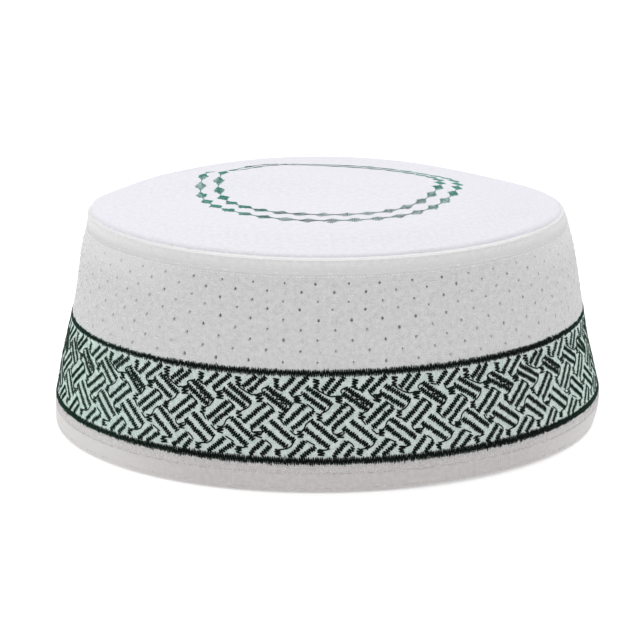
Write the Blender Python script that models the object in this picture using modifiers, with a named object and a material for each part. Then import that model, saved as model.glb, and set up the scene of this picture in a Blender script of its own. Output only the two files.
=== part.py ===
"""A stiff cotton kufi, standing by itself: oval side wall, domed crown, satin borders and a folded hem.

Metres, +Z up, the long axis of the oval along X, the front towards -Y. Each ring-shaped piece is a profile turned
about Z and then set on the oval, so that its thickness stays the same all the way round.
"""
import bpy
import bmesh
from math import atan2, cos, exp, hypot, pi, radians, sin

MM = 0.001

# Driving dimensions
BASE_HALF_WIDTH = 101.5 * MM      # outside, along X, at the foot of the hem: a head of about 58 cm
DEPTH_RATIO = 0.85                # the oval's depth over its width
WALL_THICK = 2.0 * MM             # side cloth: two layers and their stiffening
HEM_THICK = 2.9 * MM              # side cloth folded on itself
CROWN_THICK = 1.9 * MM
GAP = 0.3 * MM                    # between sewn pieces
SEGMENTS = 72                     # faces round the oval
MERGE = 0.00001

# Heights above the surface that the cap stands on
HEM_TOP = 9.4 * MM
LOWER_BORDER = (10.0 * MM, 12.4 * MM)
UPPER_BORDER = (39.0 * MM, 41.1 * MM)
EDGE_BAND_FOOT = 72.9 * MM
EDGE_BAND_TOP = 77.9 * MM
CROWN_FOOT = EDGE_BAND_TOP + GAP
SHOULDER_HEIGHT = 80.6 * MM       # where the dome would meet the side, before the corner is rounded

# The crown: a low dome that leans forward, with the soft fold left in it by packing the cap flat. The fold's line
# lies at y = FOLD_MIDDLE + FOLD_SLANT * x, steeper in front of the line than behind it
DOME_RISE = 2.8 * MM
DOME_LEAN = -0.10                 # rise for each metre towards the back
FOLD_MIDDLE = 5.4 * MM
FOLD_SLANT = -0.33
FOLD_RISE = 5.9 * MM
FOLD_RISE_SLOPE = -0.050          # the fold is taller at the left
FOLD_REACH_FRONT = 21.0 * MM
FOLD_REACH_BACK = 60.0 * MM
HOLLOW_AT = (-38.0 * MM, 33.0 * MM)   # the dome has sunk a little behind the fold's tall end
HOLLOW_DEEP = 2.2 * MM
HOLLOW_REACH = 15.0 * MM

# How far things stand out of the side wall, or lie behind its face
BORDER_PROUD = 0.9 * MM
BAND_PROUD = 0.35 * MM
ROLL_PROUD = 0.85 * MM            # the rolled line along the seam
ROLL_TALL = 1.5 * MM
BAND_THICK = 1.0 * MM
SEAM_FLAP = 0.6 * MM              # the band's turning, which covers the top of the side wall
FLAP_DROP = 1.70 * MM             # the turning lies this far under the band's top, below the crown's slanting edge
SHOULDER_RADIUS = 2.6 * MM
SHOULDER_ARC_DEG = (24, 82)       # of its circle, from the seam up to the dome
BORDER_CREST = 0.22               # half of a border's flat top, over its height
BORDER_SHOULDER = 0.6             # a border's thickness at its edges, over its middle's
ROLL_SLOPE = 0.3                  # the slanting part of the rolled line, over its height
CORNER_STEPS = 4                  # faces round the crown's corner
DOME_RINGS = 8                    # rings of faces from the corner to the middle of the dome
HEM_BULGE = 0.15 * MM
HEM_FOLD_TALL = 1.2 * MM          # where the hem's face starts to turn under
HEM_FOLD_STEP = (0.3 * MM, 0.4 * MM)
HEM_FOOT_INSET = 0.8 * MM         # the flat foot starts this far in from either face
SHARP_DEG = 50

# The side's outline, foot to seam: how far it has leaned in from the half width at its foot
SIDE_SECTIONS = (
    # height_mm, lean_in_mm
    (0.0, 0.0),
    (9.8, 0.4),
    (25.0, 3.3),
    (40.7, 7.2),
    (60.0, 11.9),
    (77.2, 16.1),
    (90.0, 19.9),
)
HEM_SECTION = 9.8                 # the section at the hem's top, which the side wall starts above

# Places where the cloth has been pushed out of its even oval
DENTS = (
    # angle_deg, height_mm, push_mm, lift_mm, spread_deg, spread_mm
    (30.0, 83.0, -2.0, -3.9, 34.0, 6.0),    # the shoulder at the back right, rubbed round
    (-12.0, 83.0, -1.2, -2.1, 24.0, 5.0),   # the right shoulder
    (-95.0, 83.0, 0.0, -0.9, 55.0, 2.2),    # the crown's edge in front, pressed down on the seam
    (138.0, 83.0, -1.0, -1.6, 26.0, 6.0),   # the shoulder at the back left
    (160.0, 84.0, 0.0, -1.4, 16.0, 5.0),    # and on towards the left
    (178.0, 80.0, 1.0, 0.0, 16.0, 5.0),     # the left shoulder, still crisp
    (178.0, 67.0, 1.9, 0.0, 30.0, 14.0),    # the side bellies out under it
    (2.0, 64.0, 1.3, 0.0, 26.0, 14.0),      # and a little at the right
    (-4.0, 28.0, -1.1, 0.0, 30.0, 13.0),    # the band, a little flat at the right
    (-4.0, 0.0, -2.6, 0.0, 20.0, 3.6),      # the foot of the hem, tucked in at the right
)


def interpolate(table, height):
    """The value at a height, straight between the table's rows."""
    for (low, at_low), (high, at_high) in zip(table, table[1:]):
        if height <= high:
            share = (height - low) / (high - low)
            return at_low + (at_high - at_low) * share
    return table[-1][1]


def half_width(height):
    return BASE_HALF_WIDTH - interpolate(SIDE_SECTIONS, height / MM) * MM


def dented(x, y, z, angle, share_of_side):
    """Moves a point by every dent that reaches it; nothing moves at the middle of the crown."""
    fade = share_of_side ** 4
    for at_deg, at_mm, push, lift, spread_deg, spread_mm in DENTS:
        turn = (angle - radians(at_deg) + pi) % (2 * pi) - pi
        rise = z / MM - at_mm
        weight = fade * exp(-(turn / radians(spread_deg)) ** 2 - (rise / spread_mm) ** 2)
        x += weight * push * MM * cos(angle)
        y += weight * push * MM * sin(angle)
        z += weight * lift * MM if z > 0 else 0
    return x, y, z


def crown_fold(x, y, share):
    """How far the crown's fold, hollow and forward lean move it over a point; nothing at its edge."""
    line = FOLD_MIDDLE + FOLD_SLANT * x
    reach = FOLD_REACH_FRONT if y < line else FOLD_REACH_BACK
    fold = (FOLD_RISE + FOLD_RISE_SLOPE * x) * (1 - share ** 4) * exp(-((y - line) / reach) ** 2)
    hollow = HOLLOW_DEEP * exp(-(hypot(x - HOLLOW_AT[0], y - HOLLOW_AT[1]) / HOLLOW_REACH) ** 2)
    return fold - hollow + DOME_LEAN * y * (1 - share ** 2)


def set_on_oval(mesh, ring):
    """Moves a turned mesh from its round form to the oval.

    A ring keeps its thickness. A disc is only narrowed, and takes the crown's fold.
    """
    for vertex in mesh.vertices:
        x, y, z = vertex.co
        radius, angle = hypot(x, y), atan2(y, x)
        base = half_width(z)
        offset = radius - base if ring else 0
        across = base if ring else radius
        normal_x, normal_y = cos(angle), sin(angle) / DEPTH_RATIO
        length = hypot(normal_x, normal_y)
        x = across * cos(angle) + offset * normal_x / length
        y = across * DEPTH_RATIO * sin(angle) + offset * normal_y / length
        share = min(1, radius / base)
        z += 0 if ring else crown_fold(x, y, share)
        vertex.co = dented(x, y, z, angle, share)


def linear(hex_colour):
    """An sRGB hex value as linear RGBA."""
    channels = [int(hex_colour[i:i + 2], 16) / 255 for i in (0, 2, 4)]
    return [c / 12.92 if c <= 0.04045 else ((c + 0.055) / 1.055) ** 2.4 for c in channels] + [1]


def material(name, hex_colour, roughness):
    made = bpy.data.materials.new(name)
    made.use_nodes = True
    shader = made.node_tree.nodes["Principled BSDF"]
    shader.inputs["Base Color"].default_value = linear(hex_colour)
    shader.inputs["Roughness"].default_value = roughness
    shader.inputs["Metallic"].default_value = 0
    return made


def turned(name, profile, closed, finish, thickness=0):
    """Turns a profile of (radius, height) rows about Z and sets it on the oval.

    A closed profile runs down its outer side first and makes a solid ring. An open one makes a surface that gets
    its thickness inwards.
    """
    mesh = bpy.data.meshes.new(name)
    corners = [(radius, 0, height) for radius, height in profile]
    edges = [(i, i + 1) for i in range(len(corners) - 1)]
    if closed:
        edges.append((len(corners) - 1, 0))
    mesh.from_pydata(corners, edges, [])
    turning = bpy.data.objects.new(name + "_profile", mesh)
    bpy.context.scene.collection.objects.link(turning)
    screw = turning.modifiers.new("Turn", "SCREW")
    screw.steps = screw.render_steps = SEGMENTS
    screw.use_merge_vertices = True
    screw.merge_threshold = MERGE
    solid = bpy.data.meshes.new_from_object(turning.evaluated_get(bpy.context.evaluated_depsgraph_get()))
    bpy.data.objects.remove(turning)
    bpy.data.meshes.remove(mesh)

    work = bmesh.new()
    work.from_mesh(solid)
    bmesh.ops.remove_doubles(work, verts=work.verts, dist=MERGE)
    bmesh.ops.recalc_face_normals(work, faces=work.faces)
    work.to_mesh(solid)
    work.free()
    set_on_oval(solid, ring=closed)
    solid.name = name
    solid.shade_smooth()
    solid.set_sharp_from_angle(angle=radians(SHARP_DEG))
    solid.materials.append(finish)

    piece = bpy.data.objects.new(name, solid)
    cap_pieces.objects.link(piece)
    if thickness:
        wall = piece.modifiers.new("Cloth thickness", "SOLIDIFY")
        wall.thickness = thickness
        wall.offset = -1
        wall.use_even_offset = True
    return piece


def on_side(rows):
    """Profile rows given as (offset from the side's face, height) as (radius, height)."""
    return [(half_width(height) + offset, height) for offset, height in rows]


def make_rim_hem(finish):
    """The folded hem: a soft fold below, a flat foot to stand on."""
    step_in, step_up = HEM_FOLD_STEP
    outside = [(0, HEM_TOP), (HEM_BULGE, HEM_TOP / 2), (0, HEM_FOLD_TALL)]
    fold = [(-step_in, step_up), (-HEM_FOOT_INSET, 0), (HEM_FOOT_INSET - HEM_THICK, 0), (step_in - HEM_THICK, step_up)]
    inside = [(-HEM_THICK, HEM_FOLD_TALL), (-HEM_THICK, HEM_TOP)]
    return turned("rim_hem", on_side(outside + fold + inside), True, finish)


def make_side_wall(finish):
    """The strip of cloth round the head, stepped back at the top where the crown's edge laps over it."""
    ledge = EDGE_BAND_FOOT - GAP
    lap = BAND_PROUD - BAND_THICK - GAP
    top = EDGE_BAND_TOP - FLAP_DROP - SEAM_FLAP - GAP
    foot = HEM_TOP + GAP
    levels = [height * MM for height, _ in SIDE_SECTIONS if HEM_SECTION < height and height * MM < ledge]
    outside = [(lap, top), (lap, ledge), (0, ledge)] + [(0, level) for level in reversed(levels)] + [(0, foot)]
    inside = [(-WALL_THICK, foot)] + [(-WALL_THICK, level) for level in levels] + [(-WALL_THICK, top)]
    return turned("side_wall", on_side(outside + inside), True, finish)


def make_border(name, low, high, finish):
    """A line of satin stitch: a flat-backed cushion that stands on the side's face."""
    middle = (low + high) / 2
    crest = (high - low) * BORDER_CREST
    shoulder = BORDER_PROUD * BORDER_SHOULDER
    rows = [(shoulder, high), (BORDER_PROUD, middle + crest), (BORDER_PROUD, middle - crest),
            (shoulder, low), (GAP, low), (GAP, high)]
    return turned(name, on_side(rows), True, finish)


def make_crown_edge_band(finish):
    """The crown's turned edge: a rolled line along the seam, a narrow band below it, a flap over the wall's top."""
    roll_foot = EDGE_BAND_TOP - ROLL_TALL
    slope = ROLL_TALL * ROLL_SLOPE
    back = BAND_PROUD - BAND_THICK
    outside = [(BAND_PROUD, EDGE_BAND_TOP), (ROLL_PROUD, EDGE_BAND_TOP - slope), (ROLL_PROUD, roll_foot + slope),
               (BAND_PROUD, roll_foot), (BAND_PROUD, EDGE_BAND_FOOT)]
    flap_top = EDGE_BAND_TOP - FLAP_DROP
    inside = [(back, EDGE_BAND_FOOT), (back, flap_top - SEAM_FLAP), (-WALL_THICK, flap_top - SEAM_FLAP),
              (-WALL_THICK, flap_top), (0, flap_top)]
    return turned("crown_edge_band", on_side(outside + inside), True, finish)


def dome_height(radius):
    """The dome's height at a half width of the oval, before the corner is rounded and the fold is added."""
    share = radius / half_width(SHOULDER_HEIGHT)
    return SHOULDER_HEIGHT + DOME_RISE * (1 - share ** 2)


def make_crown_panel(finish):
    """The domed top with its rounded shoulder, down to the seam."""
    centre_radius = half_width(SHOULDER_HEIGHT - SHOULDER_RADIUS) - SHOULDER_RADIUS
    centre_height = dome_height(centre_radius) - SHOULDER_RADIUS
    side = [(half_width(CROWN_FOOT), CROWN_FOOT)]
    corner = []
    first, last = SHOULDER_ARC_DEG
    for step in range(CORNER_STEPS + 1):
        turn = radians(first + (last - first) * step / CORNER_STEPS)
        corner.append((centre_radius + SHOULDER_RADIUS * cos(turn), centre_height + SHOULDER_RADIUS * sin(turn)))
    inner = corner[-1][0]
    dome = []
    for ring in range(1, DOME_RINGS + 1):
        radius = inner * (1 - ring / DOME_RINGS)
        dome.append((radius, dome_height(radius)))
    top_to_foot = list(reversed(side + corner + dome))
    return turned("crown_panel", top_to_foot, False, finish, thickness=CROWN_THICK)


def stand_on_origin(pieces):
    """Puts the middle of the cap's outline over the origin."""
    bpy.context.view_layer.update()
    xs = [vertex.co.x for piece in pieces for vertex in piece.data.vertices]
    ys = [vertex.co.y for piece in pieces for vertex in piece.data.vertices]
    centre_x, centre_y = (min(xs) + max(xs)) / 2, (min(ys) + max(ys)) / 2
    for piece in pieces:
        for vertex in piece.data.vertices:
            vertex.co.x -= centre_x
            vertex.co.y -= centre_y


for leftover in list(bpy.data.objects):
    bpy.data.objects.remove(leftover)

cap_pieces = bpy.data.collections.new("Kufi")
bpy.context.scene.collection.children.link(cap_pieces)

bright_cotton = material("Quilted white cotton", "EDECF3", 0.75)
plain_cotton = material("Stiffened white cotton", "DCDCDD", 0.85)
hem_cotton = material("Folded white cotton", "D2D0D0", 0.85)
green_thread = material("Dark green embroidery thread", "0B2019", 0.55)

stand_on_origin([
    make_rim_hem(hem_cotton),
    make_side_wall(plain_cotton),
    make_border("lower_border", *LOWER_BORDER, green_thread),
    make_border("upper_border", *UPPER_BORDER, green_thread),
    make_crown_edge_band(plain_cotton),
    make_crown_panel(bright_cotton),
])
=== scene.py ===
"""A stiff cotton kufi standing by itself.

Its side cloth is pierced with rows of eyelets and has a basketweave band between two satin borders in dark
green thread. Its domed crown has two rings of small diamonds, and it stands on a folded hem. The frame is in
metres, +Z up, the front towards -Y, and sizes below are in mm. Everything is laid on one dented oval.
"""
from math import cos, hypot, pi, radians, sin

import bmesh
import bpy
import numpy as np
from mathutils import Matrix, Vector


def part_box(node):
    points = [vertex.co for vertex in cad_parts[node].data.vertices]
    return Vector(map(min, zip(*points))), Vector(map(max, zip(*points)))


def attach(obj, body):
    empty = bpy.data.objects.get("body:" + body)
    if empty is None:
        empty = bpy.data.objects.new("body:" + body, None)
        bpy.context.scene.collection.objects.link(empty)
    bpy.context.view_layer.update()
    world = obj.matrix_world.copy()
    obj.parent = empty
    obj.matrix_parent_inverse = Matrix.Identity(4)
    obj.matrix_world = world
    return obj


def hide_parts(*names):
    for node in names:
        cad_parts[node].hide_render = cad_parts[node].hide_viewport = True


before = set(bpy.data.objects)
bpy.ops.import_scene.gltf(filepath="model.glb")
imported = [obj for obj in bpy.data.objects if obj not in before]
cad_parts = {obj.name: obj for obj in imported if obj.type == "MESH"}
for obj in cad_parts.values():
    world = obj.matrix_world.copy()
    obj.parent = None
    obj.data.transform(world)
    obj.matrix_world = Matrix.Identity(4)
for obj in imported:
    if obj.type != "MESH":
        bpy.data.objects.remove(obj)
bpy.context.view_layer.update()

MM = 0.001

# The form of the cap, within a millimetre of the part's
DEPTH_RATIO = 0.85
BASE_HALF_WIDTH = 101.5
WALL_THICK = 2.0
HEM_THICK = 2.9
CROWN_THICK = 1.9
EDGE_BAND_FOOT = 72.9
CROWN_FOOT = 78.2
SHOULDER_HEIGHT = 80.6
SHOULDER_RADIUS = 1.6
SHOULDER_ARC_DEG = (10, 84)
DOME_RISE = 2.5
DOME_LEAN = -0.093
FOLD_MIDDLE = 5.4
FOLD_SLANT = -0.40
FOLD_RISE = 6.2
FOLD_RISE_SLOPE = -0.050
FOLD_REACH_FRONT = 20.0
FOLD_REACH_BACK = 60.0
HOLLOW_AT = (-38.0, 33.0)
HOLLOW_DEEP = 2.2
HOLLOW_REACH = 15.0
LOWER_BORDER = (10.0, 12.4)
UPPER_BORDER = (39.4, 41.5)
BORDER_CREST = (10.67, 0.9)

SIDE_SECTIONS = (
    # height_mm, lean_in_mm
    (0.0, 0.0),
    (9.8, 0.4),
    (25.0, 3.3),
    (40.7, 7.2),
    (60.0, 11.9),
    (77.2, 16.1),
    (90.0, 19.9),
)

DENTS = (
    # angle_deg, height_mm, push_mm, lift_mm, spread_deg, spread_mm
    (30.0, 83.0, -2.0, -3.9, 34.0, 6.0),
    (-12.0, 83.0, -1.2, -2.1, 24.0, 5.0),
    (-95.0, 83.0, 0.0, -0.9, 55.0, 2.2),
    (138.0, 83.0, -1.0, -1.6, 26.0, 6.0),
    (160.0, 84.0, 0.0, -1.4, 16.0, 5.0),
    (178.0, 80.0, 1.0, 0.0, 16.0, 5.0),
    (178.0, 67.0, 1.9, 0.0, 30.0, 14.0),
    (2.0, 64.0, 1.3, 0.0, 26.0, 14.0),
    (-4.0, 28.0, -1.1, 0.0, 30.0, 13.0),
    (-4.0, 0.0, -2.6, 0.0, 20.0, 3.6),
    # and finer ones than the part's: the crown's edge pressed down in front, its crisp corner at the left
    (-93.0, 81.2, 0.0, -1.1, 62.0, 2.2),
    (167.0, 82.0, 0.0, 0.9, 8.0, 3.0),
    (150.0, 83.0, 0.0, -0.8, 9.0, 4.0),
)

# The embroidery: the band's pattern repeats 42 times round the cap
REPEATS = 42
PERIOD = 2  # repeats until the strokes come round again
STROKE_WIDE = 2.05
STROKE_TOOTH = 0.86
THREAD_WIDE = 0.48
THREAD_THICK = 0.30
THIN_THREAD = 0.50
SUNK = 0.08  # how far a stitch's ends go into the cloth

# Strokes of the basketweave, each a bar of satin stitch between two ends
RIGHT_LEANING = (
    # from_repeat, from_mm, to_repeat, to_mm
    (-1.112, 34.92, -0.803, 38.9),
    (-0.965, 33.54, -0.553, 38.9),
    (-0.126, 34.70, 0.182, 38.9),
    (0.094, 33.70, 0.535, 39.1),
    (-1.024, 23.50, -0.494, 30.4),
    (-0.847, 22.10, -0.318, 28.4),
    (-0.009, 23.70, 0.506, 30.2),
    (0.153, 21.90, 0.682, 28.4),
    (-0.847, 12.50, -0.494, 17.8),
    (-0.553, 12.50, -0.347, 15.8),
    (0.124, 12.50, 0.506, 17.8),
    (0.388, 12.50, 0.726, 16.2),
)
LEFT_LEANING = (
    # from_repeat, from_mm, to_repeat, to_mm
    (-1.509, 35.9, -0.876, 30.2),
    (-1.641, 33.9, -1.024, 28.4),
    (-0.494, 35.7, 0.138, 29.8),
    (-0.612, 33.9, 0.020, 28.0),
    (-1.376, 24.7, -0.759, 17.8),
    (-1.509, 22.1, -0.921, 15.8),
    (-0.391, 24.7, 0.212, 17.8),
    (-0.582, 22.5, 0.050, 15.8),
)

# Knots of loose zigzag where the strokes pass under each other
KNOTS = (
    # repeat, foot_mm, top_mm, wide_mm
    (-1.260, 35.3, 38.6, 1.9),
    (-0.274, 35.5, 38.6, 1.7),
    (-1.715, 30.6, 33.2, 2.2),
    (-0.685, 30.6, 33.3, 2.2),
    (-1.170, 24.9, 27.3, 1.8),
    (-0.126, 25.0, 27.4, 1.8),
    (-1.626, 19.2, 21.5, 1.9),
    (-0.671, 18.9, 20.8, 2.2),
    (-1.126, 13.0, 15.1, 1.9),
    (-0.171, 12.9, 15.0, 1.8),
)

# Thin running threads between strokes and knots, each a chain of points
THIN_THREADS = (
    # repeat, mm for each point
    ((-1.244, 35.3), (-1.185, 34.7), (-1.024, 33.5), (-0.876, 32.7), (-0.788, 32.9), (-0.70, 32.0)),
    ((-0.288, 35.3), (-0.20, 34.9), (-0.126, 34.6)),
    ((0.094, 33.7), (0.153, 32.8), (0.285, 31.8)),
    ((-0.876, 30.2), (-0.935, 28.8), (-1.024, 27.8), (-1.13, 27.2)),
    ((0.138, 29.8), (0.035, 27.8), (-0.09, 27.2)),
    ((-0.479, 30.4), (-0.318, 28.6)),
    ((-0.862, 22.1), (-0.818, 20.5), (-0.671, 19.7)),
    ((-1.126, 24.9), (-1.024, 23.3)),
    ((0.521, 30.4), (0.697, 28.6)),
    ((0.124, 21.5), (0.241, 20.1), (0.359, 20.3)),
    ((-0.126, 25.0), (-0.024, 23.3)),
    ((-1.391, 24.9), (-1.494, 23.7), (-1.538, 22.1), (-1.60, 21.2)),
    ((-0.906, 15.4), (-1.024, 15.0), (-1.171, 15.2)),
    ((0.226, 18.0), (0.153, 16.2), (0.05, 15.4), (-0.141, 15.0), (-0.171, 14.6)),
    ((-0.597, 22.3), (-0.553, 20.5), (-0.62, 19.9)),
    ((-0.479, 18.0), (-0.362, 16.8), (-0.318, 15.8)),
    ((0.52, 18.2), (0.726, 16.8)),
    ((-0.612, 33.9), (-0.64, 34.6), (-0.60, 35.2), (-0.494, 35.7)),
    ((-1.641, 33.9), (-1.60, 34.6)),
    ((-0.45, 34.2), (-0.36, 34.1), (-0.36, 33.0), (-0.24, 32.9), (-0.25, 31.7), (-0.12, 31.6), (-0.13, 30.4),
     (0.0, 30.3), (0.01, 29.3)),
)

# Eyelets of the side cloth, in rows that are staggered by half a column
EYELETS_ROUND = 47
EYELET_START = -2.18 / REPEATS
EYELET_ROWS = (44.0, 47.6, 51.1, 54.6, 57.9, 61.2, 63.8, 67.1, 69.8)
EYELET_SLANT = 0.009  # columns for each row down
EYELET_RINGS = (
    # half_wide_mm, half_tall_mm, out_mm, from its narrow throat to the cloth round its rim
    (0.34, 0.46, -0.60),
    (0.46, 0.62, -0.05),
    (0.58, 0.76, 0.09),
    (0.82, 1.02, 0.0),
)
OPEN_THROAT = 1.3
NARROW_THROAT = (0.35, 0.85)
CELL_WIDE = 11.1
CELL_TALL = 3.2

# Rings of diamonds on the crown, counted from the front towards the left
DIAMOND_CENTRE = (-0.1, 0.3)
DIAMOND_RINGS = (
    # radius_mm, diamonds, first_rad
    (46.73, 36, 0.133),
    (40.28, 32, 0.201),
)
QUILT_STEP = 2.7
QUILT_DEEP = 0.06
DIAMOND_HALF_LONG = 3.1
DIAMOND_HALF_WIDE = 2.4

rng = np.random.default_rng(11)


# Form of the cap

SECTION_HEIGHTS, SECTION_LEANS = np.array(SIDE_SECTIONS).T

# The cap's ends: shares of the half width where they begin, and where they are full
ENDS_BEGIN = 0.50
ENDS_FULL = 0.95

# Slow uneven swellings of the crown, which fade out at its middle and at its corner
SWELLINGS = (
    # lobes_round, mm_per_radian, high_mm
    (3, 14.0, 0.12),
    (7, -9.0, 0.08),
)
SWELLINGS_FULL_AT = 60.0
RELIEF_FADE = 4.0


def half_width(height):
    """The side's half width along X, in mm, at heights in mm."""
    return BASE_HALF_WIDTH - np.interp(height, SECTION_HEIGHTS, SECTION_LEANS)


ARC_ANGLES = np.linspace(-1.5 * pi, 0.5 * pi, 3601)
ARC_PACE = np.hypot(np.sin(ARC_ANGLES), DEPTH_RATIO * np.cos(ARC_ANGLES))
ARC_STEPS = ARC_PACE * (ARC_ANGLES[1] - ARC_ANGLES[0])
ARC_LENGTHS = np.concatenate([[0], np.cumsum((ARC_STEPS[1:] + ARC_STEPS[:-1]) / 2)])
ROUND_PER_HALF_WIDTH = ARC_LENGTHS[-1]


def angle_at(turn):
    """The oval's angle at a share of the way round: 0 in front, growing towards +X, a half at the back."""
    way = ((np.asarray(turn) + 0.5) % 1.0) * ROUND_PER_HALF_WIDTH
    return np.interp(way, ARC_LENGTHS, ARC_ANGLES)


def mm_per_turn(height):
    """How long one way round the oval is at a height, in mm."""
    return ROUND_PER_HALF_WIDTH * half_width(height)


def dented(x, y, z, angle, share):
    """Points in metres, moved by every dent that reaches them; nothing moves at the middle of the crown."""
    fade = share ** 4
    rise = np.array(z)
    for at_deg, at_mm, push, lift, spread_deg, spread_mm in DENTS:
        turn = (angle - radians(at_deg) + pi) % (2 * pi) - pi
        weight = fade * np.exp(-(turn / radians(spread_deg)) ** 2 - ((rise - at_mm) / spread_mm) ** 2)
        x = x + weight * push * np.cos(angle)
        y = y + weight * push * np.sin(angle)
        rise = rise + weight * lift * (rise > 0)
    return np.stack([x * MM + centre_shift, y * MM, rise * MM], axis=-1)


def on_side(turn, height, out):
    """Points on the side: a share of the way round, a height, and how far out of the cloth's face."""
    height = np.asarray(height, dtype=float)
    base, angle = half_width(height), angle_at(turn)
    normal_x, normal_y = np.cos(angle), np.sin(angle) / DEPTH_RATIO
    length = np.hypot(normal_x, normal_y)
    x = base * np.cos(angle) + out * normal_x / length
    y = base * DEPTH_RATIO * np.sin(angle) + out * normal_y / length
    return dented(x, y, height + np.zeros_like(x), angle, np.minimum(1, (base + out) / base))


def end_share(turn):
    """0 along the front and back, 1 at the cap's two ends."""
    across = np.abs(np.cos(angle_at(turn)))
    share = np.clip((across - ENDS_BEGIN) / (ENDS_FULL - ENDS_BEGIN), 0, 1)
    return share * share * (3 - 2 * share)


CORNER_RADIUS_AT = float(half_width(SHOULDER_HEIGHT - SHOULDER_RADIUS)) - SHOULDER_RADIUS


def dome_height(radius):
    """The dome's height at a half width of the oval, before the corner is rounded and the fold is added."""
    share = radius / half_width(SHOULDER_HEIGHT)
    return SHOULDER_HEIGHT + DOME_RISE * (1 - share ** 2)


CORNER_HEIGHT_AT = float(dome_height(CORNER_RADIUS_AT)) - SHOULDER_RADIUS


def crown_height(radius):
    """The crown's height at a half width of the oval, with its corner rounded."""
    past = np.clip(radius - CORNER_RADIUS_AT, 0, SHOULDER_RADIUS)
    corner = CORNER_HEIGHT_AT + np.sqrt(SHOULDER_RADIUS ** 2 - past ** 2)
    return np.where(past > 0, np.minimum(corner, dome_height(radius)), dome_height(radius))


def corner_out(height):
    """How far the crown's rounded corner stands out of the side's face, at heights above the seam."""
    above = np.clip(height - CORNER_HEIGHT_AT, 0, SHOULDER_RADIUS)
    return CORNER_RADIUS_AT + np.sqrt(SHOULDER_RADIUS ** 2 - above ** 2) - half_width(height)


def on_form(radius, angle, height, out=0.0):
    """Points of the crown at a half width and an angle of the oval, with its fold and its forward lean."""
    x, y = radius * np.cos(angle), radius * DEPTH_RATIO * np.sin(angle)
    share = np.minimum(1, radius / half_width(height))
    line = FOLD_MIDDLE + FOLD_SLANT * x
    reach = np.where(y < line, FOLD_REACH_FRONT, FOLD_REACH_BACK)
    fold = (FOLD_RISE + FOLD_RISE_SLOPE * x) * (1 - share ** 4) * np.exp(-((y - line) / reach) ** 2)
    hollow = HOLLOW_DEEP * np.exp(-(np.hypot(x - HOLLOW_AT[0], y - HOLLOW_AT[1]) / HOLLOW_REACH) ** 2)
    return dented(x, y, height + fold - hollow + DOME_LEAN * y * (1 - share ** 2) + out, angle, share)


def crown_relief(radius, angle):
    """How the crown's face waves: grooves along its rings of stitches, and slow uneven swellings."""
    groove = -QUILT_DEEP * (1 + np.cos(2 * pi * radius / QUILT_STEP)) / 2
    slow = sum(high * np.sin(lobes * angle + radius / reach) for lobes, reach, high in SWELLINGS)
    slow = slow * np.clip(radius / SWELLINGS_FULL_AT, 0, 1)
    return (groove + slow) * np.clip((CORNER_RADIUS_AT - radius) / RELIEF_FADE, 0, 1)


def on_crown(x, y, out):
    """Points on the crown over x and y."""
    radius, angle = np.hypot(x, y / DEPTH_RATIO), np.arctan2(y / DEPTH_RATIO, x)
    return on_form(radius, angle, crown_height(radius), crown_relief(radius, angle) + out)


centre_shift = 0.0
border_low, border_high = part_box("lower_border")
widest = on_side(np.array([0.25, 0.75]), BORDER_CREST[0], BORDER_CREST[1])[:, 0]
centre_shift = float((border_low.x + border_high.x) / 2 - widest.mean())


# Making pieces

def deselect():
    if bpy.context.mode != "OBJECT":
        bpy.ops.object.mode_set(mode="OBJECT")
    bpy.ops.object.select_all(action="DESELECT")


def choose(piece):
    deselect()
    piece.select_set(True)
    bpy.context.view_layer.objects.active = piece


def edit(piece):
    """Opens a piece with everything in it selected."""
    choose(piece)
    bpy.ops.object.mode_set(mode="EDIT")
    bpy.ops.mesh.select_all(action="SELECT")


def leave():
    bpy.ops.object.mode_set(mode="OBJECT")


def finished(piece, material, slot, *nodes):
    """Gives a piece its material and its place in the frame."""
    piece.data.materials.clear()
    piece.data.materials.append(material)
    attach(piece, "root")
    if nodes:
        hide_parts(*nodes)
    return piece


def coordinates(mesh):
    flat = np.empty(len(mesh.vertices) * 3)
    mesh.vertices.foreach_get("co", flat)
    return flat.reshape(-1, 3)


def move_to(mesh, points):
    mesh.vertices.foreach_set("co", points.ravel())
    mesh.update()


def lay_cloth_map(mesh, across_m, up_m, round_m=0.0):
    """A UV map in metres of cloth. Where it comes round to its start, no face reaches across the seam."""
    loops = np.empty(len(mesh.loops), dtype=np.int32)
    mesh.loops.foreach_get("vertex_index", loops)
    across, up = across_m[loops], up_m[loops]
    if round_m:
        starts = np.empty(len(mesh.polygons), dtype=np.int32)
        totals = np.empty(len(mesh.polygons), dtype=np.int32)
        mesh.polygons.foreach_get("loop_start", starts)
        mesh.polygons.foreach_get("loop_total", totals)
        first = np.repeat(across[starts], totals)
        across = first + (across - first + round_m / 2) % round_m - round_m / 2
    cloth = mesh.uv_layers.new(name="cloth")
    cloth.data.foreach_set("uv", np.stack([across, up], axis=-1).ravel())


def smooth(piece, angle_deg=50):
    choose(piece)
    bpy.ops.object.shade_smooth_by_angle(angle=radians(angle_deg))


def select_where(piece, test):
    """In edit mode, selects the vertices that pass a test, with the edges and faces between them."""
    bpy.ops.mesh.select_mode(type="VERT")
    bpy.ops.mesh.select_all(action="DESELECT")
    work = bmesh.from_edit_mesh(piece.data)
    for vertex in work.verts:
        vertex.select = test(vertex.co)
    work.select_flush(True)
    bmesh.update_edit_mesh(piece.data)


AT_AXIS = 0.1 * MM


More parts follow.
